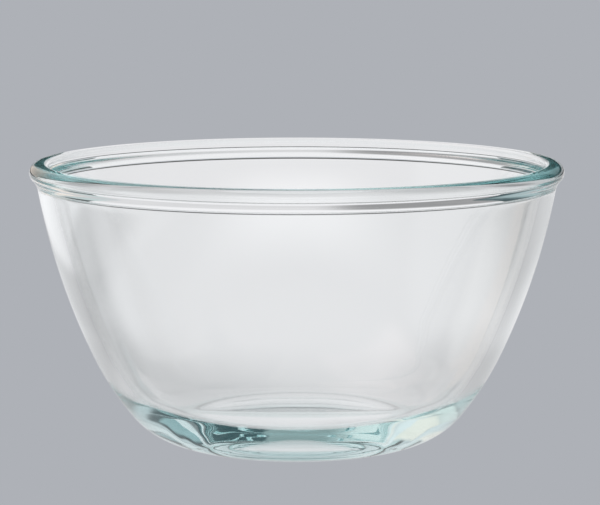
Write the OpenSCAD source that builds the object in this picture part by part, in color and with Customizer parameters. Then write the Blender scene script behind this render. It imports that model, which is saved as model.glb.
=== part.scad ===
// Glass mixing bowl: one piece of pressed clear glass with a rolled lip and a thick flat foot.
// It stands on its foot at z = 0 with its axis on Z. Sizes are in millimetres, angles in degrees.

/* [Overall size] */
// Diameter over the rolled lip
rim_d = 210; // [195:1:218]
// Height from the table to the top of the rim
height = 111; // [102:0.5:122]

/* [Foot] */
// Diameter of the flat foot
foot_d = 84; // [76:1:92]
// Width of the flat ring that touches the table
foot_ring_w = 4; // [2:0.5:10]
// How far the underside rises in the middle, clear of the table
foot_rise = 0.5; // [0.2:0.1:1.5]

/* [Outside, from the foot up] */
// Radius of the heel, where the foot turns up
heel_r = 31; // [27:0.5:35]
// Angle that the heel turns through
heel_turn = 51; // [47:0.5:54]
// Radius of the belly above the heel
belly_r = 116; // [95:1:140]
// Radius of the side, which is nearly straight
side_r = 265; // [225:1:360]

/* [Glass] */
// Thickness of the side
wall = 5.5; // [4:0.1:6.5]
// Thickness of the floor
floor_t = 9; // [7:0.1:12]
// Radius inside, where the floor turns up into the side
corner_r = 36; // [28:0.5:40]

/* [Rim] */
// Height of the lip, from the top of the rim to the foot of the neck under it
lip_h = 10; // [9:0.1:11.5]
// How far the lip stands out past the side
lip_out = 3.2; // [2.6:0.1:4]
// Radius of the round outside of the lip
lip_r = 3.5; // [3:0.1:4]
// Radius of the rim's inner edge
edge_r = 1.8; // [1:0.1:2.4]

/* [Hidden] */
// Furthest that a chord may lie from the curve it stands for
smooth = 0.01;
// Facets round the bowl
around = 180;

rim_r = rim_d / 2;
foot_r = foot_d / 2;

// The section is drawn with x out from the axis and y up.
// A heading of 0 points down, 90 points out from the axis and 180 points up.
function along(from, heading, length) = from + length * [sin(heading), -cos(heading)];
function heading(from, to) = atan2(to[0] - from[0], from[1] - to[1]);

// Points of an arc about a centre, without its first point
function arc_steps(r, turn) = max(2, ceil(abs(turn) / (2 * acos(1 - smooth / r))));
function arc(centre, r, start, end) =
    let (n = arc_steps(r, end - start))
    [for (i = [1 : n]) along(centre, start + (end - start) * i / n, r)];

// Where two circles cross, on the left of the way from a to b
function crossing(a, ra, b, rb) =
    let (
        gap = norm(b - a),
        dir = (b - a) / gap,
        t = (ra * ra - rb * rb + gap * gap) / (2 * gap),
        h = sqrt(ra * ra - t * t)
    )
    a + t * dir + h * [-dir[1], dir[0]];

// Underside: a shallow hollow inside the foot ring
hollow_r = foot_r - foot_ring_w;
rise_r = (hollow_r * hollow_r + foot_rise * foot_rise) / (2 * foot_rise);
rise_c = [0, foot_rise - rise_r];
rise_half = asin(hollow_r / rise_r);

// Outside: heel, belly and side are arcs that run smoothly into each other
heel_c = [foot_r, heel_r];
belly_c = along(heel_c, heel_turn, heel_r - belly_r);
side_top = [rim_r - lip_out, height - lip_h];
side_c = crossing(belly_c, side_r - belly_r, side_top, side_r);
side_from = heading(side_c, belly_c);
side_to = heading(side_c, side_top);

// Lip: a round outside, and a hollow neck that blends it into the side
lip_c = [rim_r - lip_r, height - lip_r];
side_out = along([0, 0], side_to, 1);
to_side = side_top - lip_c;
neck_r = (to_side * to_side - lip_r * lip_r) / (2 * (lip_r - to_side * side_out));
neck_c = side_top + neck_r * side_out;
lip_from = heading(lip_c, neck_c);

// Inside: follows the outside at the wall's thickness, then turns into the flat floor
edge_y = height - edge_r;
edge_x = side_c[0] + sqrt(pow(side_r - wall + edge_r, 2) - pow(edge_y - side_c[1], 2));
edge_c = [edge_x, edge_y];
edge_to = heading(side_c, edge_c);
corner_y = floor_t + corner_r;
corner_x = belly_c[0] + sqrt(pow(belly_r - wall - corner_r, 2) - pow(corner_y - belly_c[1], 2));
corner_c = [corner_x, corner_y];
corner_to = heading(belly_c, corner_c);

section = concat(
    [[0, foot_rise]],
    arc(rise_c, rise_r, 180, 180 - rise_half),
    [[foot_r, 0]],
    arc(heel_c, heel_r, 0, heel_turn),
    arc(belly_c, belly_r, heel_turn, side_from),
    arc(side_c, side_r, side_from, side_to),
    arc(neck_c, neck_r, side_to + 180, lip_from + 180),
    arc(lip_c, lip_r, lip_from, 180),
    [edge_c + [0, edge_r]],
    arc(edge_c, edge_r, 180, edge_to + 180),
    arc(side_c, side_r - wall, edge_to, side_from),
    arc(belly_c, belly_r - wall, side_from, corner_to),
    arc(corner_c, corner_r, corner_to, 0),
    [[0, floor_t]]
);

module bowl() {
    color([0.80, 0.90, 0.90, 0.45])
        rotate_extrude($fn = around)
            polygon(section);
}

bowl();
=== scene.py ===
# Mixing bowl of clear pressed glass, standing on a plain studio floor.
# The section is drawn with X out from the bowl's axis and Z up, in metres.
import math

import bmesh
import bpy
from mathutils import Matrix, Vector


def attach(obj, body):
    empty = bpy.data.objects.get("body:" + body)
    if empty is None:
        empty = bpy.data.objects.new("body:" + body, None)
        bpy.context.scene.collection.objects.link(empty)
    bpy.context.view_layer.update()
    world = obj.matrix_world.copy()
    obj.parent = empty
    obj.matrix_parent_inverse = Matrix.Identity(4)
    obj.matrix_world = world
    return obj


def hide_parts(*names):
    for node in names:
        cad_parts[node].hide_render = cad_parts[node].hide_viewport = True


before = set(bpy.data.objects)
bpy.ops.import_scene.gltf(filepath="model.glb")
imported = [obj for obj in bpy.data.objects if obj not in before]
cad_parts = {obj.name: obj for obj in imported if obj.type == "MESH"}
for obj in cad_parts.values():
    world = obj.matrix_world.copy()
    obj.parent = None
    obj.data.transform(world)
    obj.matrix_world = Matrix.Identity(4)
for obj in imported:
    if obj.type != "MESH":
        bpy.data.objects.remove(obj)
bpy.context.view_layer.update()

MM = 0.001

# Sizes of the bowl, as in the part's source
RIM_R = 105 * MM
HEIGHT = 111 * MM
FOOT_R = 42 * MM
FOOT_RING_W = 4 * MM
FOOT_RISE = 0.5 * MM
HEEL_R = 31 * MM
HEEL_TURN = math.radians(51)
BELLY_R = 116 * MM
SIDE_R = 265 * MM
WALL = 5.5 * MM
FLOOR_T = 9 * MM
CORNER_R = 36 * MM
LIP_H = 10 * MM
LIP_OUT = 3.2 * MM
LIP_R = 3.5 * MM
EDGE_R = 1.8 * MM

# Furthest that a chord of the section may lie from its curve, and the fewest steps of an arc
SMOOTH = 0.002 * MM
FEWEST_STEPS = 3
# Steps along the three straight stretches of the section, and round the axis
RING_STEPS = 6
TOP_STEPS = 2
FLOOR_STEPS = 24
AROUND = 256
# Points nearer to each other than this become one
MERGE_WITHIN = 0.0005 * MM

# Headings turn in the section's plane: 0 points down, a quarter turn out from the axis, half a turn up
UP = math.pi


def along(start, towards, length):
    """The point that lies a length away on a heading."""
    return start + length * Vector((math.sin(towards), 0, -math.cos(towards)))


def heading(start, end):
    """The heading from one point to another."""
    return math.atan2(end.x - start.x, start.z - end.z)


def crossing(a, radius_a, b, radius_b):
    """Where two circles cross, on the left of the way from a to b."""
    way = b - a
    gap = way.length
    way = way / gap
    foot = (radius_a**2 - radius_b**2 + gap**2) / (2 * gap)
    rise = math.sqrt(radius_a**2 - foot**2)
    return a + foot * way + rise * Vector((-way.z, 0, way.x))


def turn_about(bm, tip, centre, end):
    """Carries the section on from its last point, round a centre, to a heading."""
    radius = (tip.co - centre).length
    start = heading(centre, tip.co)
    turn = (end - start + math.pi) % (2 * math.pi) - math.pi
    step = 2 * math.acos(1 - SMOOTH / radius)
    made = bmesh.ops.spin(
        bm,
        geom=[tip],
        cent=centre,
        axis=(0, -1, 0),
        angle=turn,
        steps=max(FEWEST_STEPS, math.ceil(abs(turn) / step)),
        use_duplicate=False,
    )
    return next(item for item in made["geom_last"] if isinstance(item, bmesh.types.BMVert))


def straight_to(bm, tip, end, steps):
    """Carries the section on from its last point in a straight line."""
    stride = (end - tip.co) / steps
    for _ in range(steps):
        made = bmesh.ops.extrude_vert_indiv(bm, verts=[tip])
        tip = made["verts"][0]
        tip.co += stride
    return tip


def draw_section(bm):
    """Draws the section from the middle of the underside, round the rim, to the middle of the floor."""
    # Underside: a shallow hollow, then the flat ring that stands on the table
    hollow_r = FOOT_R - FOOT_RING_W
    rise_r = (hollow_r**2 + FOOT_RISE**2) / (2 * FOOT_RISE)
    rise_c = Vector((0, 0, FOOT_RISE - rise_r))
    tip = bm.verts.new((0, 0, FOOT_RISE))
    tip = turn_about(bm, tip, rise_c, UP - math.asin(hollow_r / rise_r))
    tip = straight_to(bm, tip, Vector((FOOT_R, 0, 0)), RING_STEPS)

    # Outside: heel, belly and side
    heel_c = Vector((FOOT_R, 0, HEEL_R))
    belly_c = along(heel_c, HEEL_TURN, HEEL_R - BELLY_R)
    side_top = Vector((RIM_R - LIP_OUT, 0, HEIGHT - LIP_H))
    side_c = crossing(belly_c, SIDE_R - BELLY_R, side_top, SIDE_R)
    side_from = heading(side_c, belly_c)
    side_to = heading(side_c, side_top)
    tip = turn_about(bm, tip, heel_c, HEEL_TURN)
    tip = turn_about(bm, tip, belly_c, side_from)
    tip = turn_about(bm, tip, side_c, side_to)

    # Rim: a hollow neck, the round lip, the flat top and the inner edge
    lip_c = Vector((RIM_R - LIP_R, 0, HEIGHT - LIP_R))
    side_out = along(Vector(), side_to, 1)
    to_side = side_top - lip_c
    neck_r = (to_side.length_squared - LIP_R**2) / (2 * (LIP_R - to_side.dot(side_out)))
    neck_c = side_top + neck_r * side_out
    tip = turn_about(bm, tip, neck_c, heading(neck_c, lip_c))
    tip = turn_about(bm, tip, lip_c, UP)
    edge_z = HEIGHT - EDGE_R
    edge_x = side_c.x + math.sqrt((SIDE_R - WALL + EDGE_R) ** 2 - (edge_z - side_c.z) ** 2)
    edge_c = Vector((edge_x, 0, edge_z))
    edge_to = heading(side_c, edge_c)
    tip = straight_to(bm, tip, edge_c + Vector((0, 0, EDGE_R)), TOP_STEPS)
    tip = turn_about(bm, tip, edge_c, edge_to + UP)

    # Inside: side, belly, the corner at the bottom and the flat floor
    corner_z = FLOOR_T + CORNER_R
    corner_x = belly_c.x + math.sqrt((BELLY_R - WALL - CORNER_R) ** 2 - (corner_z - belly_c.z) ** 2)
    corner_c = Vector((corner_x, 0, corner_z))
    tip = turn_about(bm, tip, side_c, side_from)
    tip = turn_about(bm, tip, belly_c, heading(belly_c, corner_c))
    tip = turn_about(bm, tip, corner_c, 0)
    straight_to(bm, tip, Vector((0, 0, FLOOR_T)), FLOOR_STEPS)


def press_bowl():
    """Spins the section into the closed glass wall of the bowl."""
    bm = bmesh.new()
    draw_section(bm)
    bmesh.ops.spin(
        bm,
        geom=bm.verts[:] + bm.edges[:],
        cent=(0, 0, 0),
        axis=(0, 0, 1),
        angle=2 * math.pi,
        steps=AROUND,
        use_merge=True,
        use_duplicate=False,
    )
    bmesh.ops.remove_doubles(bm, verts=bm.verts, dist=MERGE_WITHIN)
    bmesh.ops.recalc_face_normals(bm, faces=bm.faces)
    for face in bm.faces:
        face.smooth = True
    mesh = bpy.data.meshes.new("glass_bowl")
    bm.to_mesh(mesh)
    bm.free()
    piece = bpy.data.objects.new("glass_bowl", mesh)
    bpy.context.scene.collection.objects.link(piece)
    return piece


def linear(code):
    """An sRGB hex colour as linear red, green, blue and alpha."""
    out = []
    for i in (0, 2, 4):
        share = int(code[i : i + 2], 16) / 255
        out.append(share / 12.92 if share <= 0.04045 else ((share + 0.055) / 1.055) ** 2.4)
    return (*out, 1.0)


def add_node(tree, kind, settings=None, links=None):
    """Adds a node, gives its properties and sockets their values, and links its inputs."""
    node = tree.nodes.new(kind)
    for name, value in (settings or {}).items():
        if isinstance(name, str) and hasattr(node, name):
            setattr(node, name, value)
        else:
            node.inputs[name].default_value = value
    for name, socket in (links or {}).items():
        tree.links.new(socket, node.inputs[name])
    return node


def new_material(name):
    """An empty node material with its output node."""
    material = bpy.data.materials.new(name)
    material.use_nodes = True
    tree = material.node_tree
    tree.nodes.clear()
    return material, tree, add_node(tree, "ShaderNodeOutputMaterial")


# Glass: its refraction, its tint and the strength of that in a metre of glass, and the waviness of its
# pressed surface
GLASS_IOR = 1.5
GLASS_TINT = linear("7ce5e7")
TINT_PER_METRE = 2.6
WAVE_LENGTH = 22.2 * MM
WAVE_HEIGHT = 0.025 * MM


def pressed_glass():
    """Clear soda-lime glass, pressed and fire-polished: smooth and bright, with the faint waviness that
    the mould leaves. It is faintly blue-green in itself, which shows at the rim and the foot, where
    the eye looks along the glass."""
    material, tree, output = new_material("pressed_soda_lime_glass")
    where = add_node(tree, "ShaderNodeTexCoord")
    waves = add_node(
        tree,
        "ShaderNodeTexNoise",
        {"Scale": 1 / WAVE_LENGTH, "Detail": 1.0, "Roughness": 0.4},
        {"Vector": where.outputs["Object"]},
    )
    wavy = add_node(tree, "ShaderNodeBump", {"Distance": WAVE_HEIGHT}, {"Height": waves.outputs[0]})
    glass = add_node(
        tree,
        "ShaderNodeBsdfPrincipled",
        {"Base Color": linear("ffffff"), "Roughness": 0.0, "IOR": GLASS_IOR, "Transmission Weight": 1.0},
        {"Normal": wavy.outputs[0]},
    )
    tint = add_node(tree, "ShaderNodeVolumeAbsorption", {"Color": GLASS_TINT, "Density": TINT_PER_METRE})
    tree.links.new(glass.outputs["BSDF"], output.inputs["Surface"])
    tree.links.new(tint.outputs["Volume"], output.inputs["Volume"])
    return material


# Stage: a pale floor, and a pale card hung behind the bowl. The glass shows their light, which has one
# tone. The camera itself sees the floor and the studio as one flat grey, and doesn't see the card.
BACKDROP = linear("aeb1b7")
PAPER_LIGHT = (0.996, 0.993, 1.011, 1)

# Floor: how far it reaches each way, how far it lies under the foot, and its light
FLOOR_HALF = 8.0
FLOOR_DROP = 0.2 * MM
FLOOR_LIGHT = 0.75
# Behind the bowl the floor's painted light lies in a wedge, whose point is this far to the right of the
# bowl's axis
WEDGE_X = 27.5 * MM
# Patches of painted light and painted shade on the floor: how many times as bright each is, then its
# edges. The darker patches are painted shade: the bowl's painted shadow at its sides, close beside it and
# in front of the foot, and shade outside the wedge, on the right, near the left and at the far end. The
# brighter ones are painted pools of light behind the bowl, under the foot and far to the left. An edge
# says what is measured, the value where the patch begins and the value where it is full.
FLOOR_LIGHT_AND_SHADE = [
    ("dim sides", 0.6, [("behind", -0.08, -0.17), ("aside", 0.56, 0.32), ("Y", -0.06, 0.06)]),
    ("edge of the wedge", 0.87, [("behind", 0.14, -0.08)]),
    ("behind the bowl", 1.12, [("Y", -0.05, 0.3)]),
    ("far end", 0.12, [("Y", 1.85, 2.05)]),
    ("right", 0.76, [("X", 0.1, 0.26), ("Y", 0.8, 0.6)]),
    ("near left", 0.82, [("X", -0.11, -0.165), ("Y", 0.8, 0.6)]),
    ("far left", 1.4, [("X", -0.2, -0.25), ("Y", 0.8, 0.6)]),
    (
        "close on the left",
        0.85,
        [("X", -0.04, -0.1), ("X", -0.15, -0.12), ("Y", 0.28, 0.08), ("Y", 0.0, 0.05)],
    ),
    (
        "close on the right",
        0.83,
        [("X", 0.02, 0.09), ("X", 0.15, 0.11), ("Y", 0.3, 0.06), ("Y", -0.03, 0.02)],
    ),
    ("front of the foot", 0.7, [("Y", -0.047, -0.055), ("Y", -0.13, -0.06)]),
    ("under the foot", 1.25, [("out", 0.052, 0.036)]),
]

# Card: its place, its half width, the heights of its lower and upper edges, and its light
CARD_Y = 350 * MM
CARD_HALF = 125 * MM
CARD_LOW = 107 * MM
CARD_HIGH = 270 * MM
CARD_LIGHT = 0.92
# Patches of painted shade on the card's painted light: darker at its top, and darker still at its upper
# right
CARD_SHADE_PATCHES = [
    ("top", 0.8, [("Z", 0.15, 0.19)]),
    ("upper right", 0.42, [("X", 0.0, 0.05), ("Z", 0.138, 0.172)]),
]


def stage_plane(name, size, matrix):
    """A square sheet, given its place and proportions by a matrix."""
    bm = bmesh.new()
    bmesh.ops.create_grid(bm, x_segments=1, y_segments=1, size=size, matrix=matrix)
    mesh = bpy.data.meshes.new(name)
    bm.to_mesh(mesh)
    bm.free()
    plane = bpy.data.objects.new(name, mesh)
    bpy.context.scene.collection.objects.link(plane)
    return plane


def within(tree, measures, edges):
    """How far inside all of a patch's edges a point lies, from 0 to 1."""
    inside = None
    for measure, begin, full in edges:
        edge = add_node(
            tree,
            "ShaderNodeMapRange",
            {"interpolation_type": "SMOOTHSTEP", "From Min": begin, "From Max": full},
            {"Value": measures[measure]},
        )
        share = edge.outputs["Result"]
        if inside is not None:
            both = add_node(tree, "ShaderNodeMath", {"operation": "MULTIPLY"}, {0: inside, 1: share})
            share = both.outputs[0]
        inside = share
    return inside


def patched_light(tree, level, patches, measures):
    """A light of one level, made as many times as bright by each patch as the patch says."""
    light = add_node(tree, "ShaderNodeValue")
    light.outputs[0].default_value = level
    for _, times, edges in patches:
        share = add_node(
            tree,
            "ShaderNodeMapRange",
            {"interpolation_type": "SMOOTHSTEP", "To Min": 1.0, "To Max": times},
            {"Value": within(tree, measures, edges)},
        )
        links = {0: light.outputs[0], 1: share.outputs["Result"]}
        light = add_node(tree, "ShaderNodeMath", {"operation": "MULTIPLY"}, links)
    return light.outputs[0]


def grey_to_camera(tree, output, lit, grey):
    """Shows one shader through the glass, and the flat grey one where the camera sees it straight."""
    path = add_node(tree, "ShaderNodeLightPath")
    seen = add_node(
        tree,
        "ShaderNodeMixShader",
        links={0: path.outputs["Is Camera Ray"], 1: lit.outputs[0], 2: grey.outputs[0]},
    )
    tree.links.new(seen.outputs[0], output.inputs["Surface"])


def floor_measures(tree):
    """What a patch of the floor can be measured by: X, Y, out from the bowl's axis, aside of the
    wedge's middle, and behind the wedge's edge."""
    where = add_node(tree, "ShaderNodeTexCoord")
    place = add_node(tree, "ShaderNodeSeparateXYZ", links={0: where.outputs["Object"]})
    x = place.outputs["X"]
    y = place.outputs["Y"]
    out = add_node(tree, "ShaderNodeVectorMath", {"operation": "LENGTH"}, {0: where.outputs["Object"]})
    offset = add_node(tree, "ShaderNodeMath", {"operation": "SUBTRACT", 1: WEDGE_X}, {0: x})
    aside = add_node(tree, "ShaderNodeMath", {"operation": "ABSOLUTE"}, {0: offset.outputs[0]})
    behind = add_node(tree, "ShaderNodeMath", {"operation": "SUBTRACT"}, {0: y, 1: aside.outputs[0]})
    return {
        "X": x,
        "Y": y,
        "out": out.outputs["Value"],
        "aside": aside.outputs[0],
        "behind": behind.outputs[0],
    }


def studio_floor():
    """A sheet of pale paper, which shines softly with painted light instead of being lit, and so takes no
    real shadow; the bowl's shadow and the pools of light round it are painted on in patches.
    """
    floor = stage_plane("studio_floor", FLOOR_HALF, Matrix.Translation((0, 0, -FLOOR_DROP)))
    material, tree, output = new_material("studio_paper")
    # The floor's glow is painted light, made brighter or darker by its patches of painted light and
    # painted shade
    light = patched_light(tree, FLOOR_LIGHT, FLOOR_LIGHT_AND_SHADE, floor_measures(tree))
    lit = add_node(tree, "ShaderNodeEmission", {"Color": PAPER_LIGHT}, {"Strength": light})
    grey = add_node(tree, "ShaderNodeEmission", {"Color": BACKDROP})
    grey_to_camera(tree, output, lit, grey)
    floor.data.materials.append(material)
    return floor


def hung_card():
    """A pale card behind the bowl, which glows with painted light instead of being lit, and which the
    camera sees through the glass alone.
    """
    middle = (CARD_LOW + CARD_HIGH) / 2
    half = (CARD_HIGH - CARD_LOW) / 2
    stand = Matrix.Translation((0, CARD_Y, middle)) @ Matrix.Rotation(math.pi / 2, 4, "X")
    card = stage_plane("studio_card", 1.0, stand @ Matrix.Diagonal((CARD_HALF, half, 1, 1)))
    material, tree, output = new_material("studio_card")
    where = add_node(tree, "ShaderNodeTexCoord")
    place = add_node(tree, "ShaderNodeSeparateXYZ", links={0: where.outputs["Object"]})
    light = patched_light(tree, CARD_LIGHT, CARD_SHADE_PATCHES, place.outputs)
    lit = add_node(tree, "ShaderNodeEmission", {"Color": PAPER_LIGHT}, {"Strength": light})
    tree.links.new(lit.outputs[0], output.inputs["Surface"])
    card.data.materials.append(material)
    card.visible_camera = False
    return card


# What stands round the bowl, by direction: its light, then its edges. An edge says an axis of the
# direction, the value where the panel begins and the value where it is full. Later panels stand in
# front of earlier ones.
ROOM = (0.28, 0.29, 0.29, 1)
PANELS = [
    ("back wall", (0.6, 0.63, 0.65, 1), [("Y", 0.25, 0.5), ("X", -0.62, -0.5)]),
    ("left wall", (0.62, 0.64, 0.64, 1), [("X", -0.8, -0.9), ("Y", 0.5, 0.3)]),
    (
        "left window",
        (1.1, 1.09, 1.08, 1),
        [("Y", 0.25, 0.45), ("X", -0.17, -0.25), ("X", -0.8, -0.7), ("Z", 0.42, 0.5)],
    ),
    (
        "low left window",
        (1.05, 0.93, 0.84, 1),
        [("Y", 0.5, 0.7), ("X", -0.17, -0.25), ("X", -0.7, -0.58), ("Z", 0.36, 0.28)],
    ),
    (
        "low left corner",
        (0.85, 0.85, 0.82, 1),
        [("X", -0.55, -0.68), ("X", -0.92, -0.86), ("Y", 0.35, 0.48), ("Z", 0.4, 0.3)],
    ),
    (
        "dark middle",
        (0.03, 0.05, 0.05, 1),
        [("Y", 0.3, 0.6), ("X", -0.22, -0.16), ("X", 0.55, 0.4), ("Z", 0.04, 0.08), ("Z", 0.22, 0.15)],
    ),
    (
        "low back wall",
        (0.58, 0.68, 0.68, 1),
        [("Y", 0.6, 0.8), ("X", -0.25, -0.15), ("X", 0.16, 0.05), ("Z", 0.125, 0.165), ("Z", 0.3, 0.24)],
    ),
    ("ceiling", (0.38, 0.39, 0.39, 1), [("Z", 0.52, 0.64)]),
    (
        "ceiling at the left",
        (1.05, 0.92, 0.9, 1),
        [("Z", 0.52, 0.64), ("X", -0.12, -0.25), ("Y", -0.45, -0.2)],
    ),
    (
        "right screen",
        (0.03, 0.075, 0.085, 1),
        [("X", 0.115, 0.14), ("X", 0.78, 0.65), ("Z", 0.05, 0.12), ("Y", -0.5, -0.3)],
    ),
    (
        "low right back",
        (0.33, 0.48, 0.5, 1),
        [("Y", 0.8, 0.86), ("X", 0.14, 0.22), ("Z", 0.1, 0.16), ("Z", 0.5, 0.3)],
    ),
    (
        "front light",
        (1.7, 1.7, 1.7, 1),
        [("Y", 0.3, -0.85), ("X", -0.95, -0.15), ("X", 0.95, 0.15), ("Z", 0.24, 0.36), ("Z", 0.56, 0.38)],
    ),
]


def studio_light():
    """Soft light from all round, with brighter and darker panels that draw the edges of the glass."""
    world = bpy.data.worlds.new("studio")
    bpy.context.scene.world = world
    world.use_nodes = True
    tree = world.node_tree
    tree.nodes.clear()
    output = add_node(tree, "ShaderNodeOutputWorld")
    where = add_node(tree, "ShaderNodeTexCoord")
    axes = add_node(tree, "ShaderNodeSeparateXYZ", links={0: where.outputs["Generated"]})
    light = add_node(tree, "ShaderNodeRGB")
    light.outputs[0].default_value = ROOM
    for _, colour, edges in PANELS:
        links = {0: within(tree, axes.outputs, edges), 1: light.outputs[0]}
        light = add_node(tree, "ShaderNodeMixRGB", {2: colour}, links)
    lit = add_node(tree, "ShaderNodeBackground", links={"Color": light.outputs[0]})
    grey = add_node(tree, "ShaderNodeBackground", {"Color": BACKDROP})
    grey_to_camera(tree, output, lit, grey)


# Camera: a long lens a metre away, a little above the rim. The picture's size, the focal length and the
# place of the bowl's middle on the picture are in pixels.
PICTURE_W = 600
PICTURE_H = 505
FOCAL_PX = 2517
MIDDLE_PX_X = 296.8
MIDDLE_PX_Y = 300.1
DISTANCE = 1.0
ELEVATION = math.radians(8.9)
SENSOR_MM = 36.0


def camera_in_front():
    """Looks at the bowl from the front, past its middle by as much as the picture's frame asks."""
    data = bpy.data.cameras.new("camera")
    data.sensor_width = SENSOR_MM
    data.lens = FOCAL_PX * SENSOR_MM / PICTURE_W
    camera = bpy.data.objects.new("camera", data)
    bpy.context.scene.collection.objects.link(camera)
    bpy.context.scene.camera = camera
    middle = Vector((0, 0, HEIGHT / 2))
    away = Vector((0, -math.cos(ELEVATION), math.sin(ELEVATION)))
    up = Vector((0, math.sin(ELEVATION), math.cos(ELEVATION)))
    right = Vector((1, 0, 0))
    pixel = DISTANCE / FOCAL_PX
    past_up = (MIDDLE_PX_Y - PICTURE_H / 2) * pixel
    past_right = (PICTURE_W / 2 - MIDDLE_PX_X) * pixel
    aim = middle + past_up * up + past_right * right
    camera.location = middle + away * DISTANCE
    camera.rotation_euler = (aim - camera.location).to_track_quat("-Z", "Y").to_euler()


# Bounces enough for light that runs along inside the wall
BOUNCES = 64


def light_paths():
    """Lets light bounce on in the glass, clears the grain and keeps the colours plain."""
    scene = bpy.context.scene
    scene.cycles.max_bounces = BOUNCES
    scene.cycles.transmission_bounces = BOUNCES
    scene.cycles.glossy_bounces = BOUNCES
    scene.cycles.use_denoising = True
    scene.view_settings.view_transform = "Standard"


camera_in_front()
bowl = press_bowl()
bowl.data.materials.append(pressed_glass())
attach(bowl, "root")
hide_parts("bowl")
studio_floor()
hung_card()
studio_light()
light_paths()
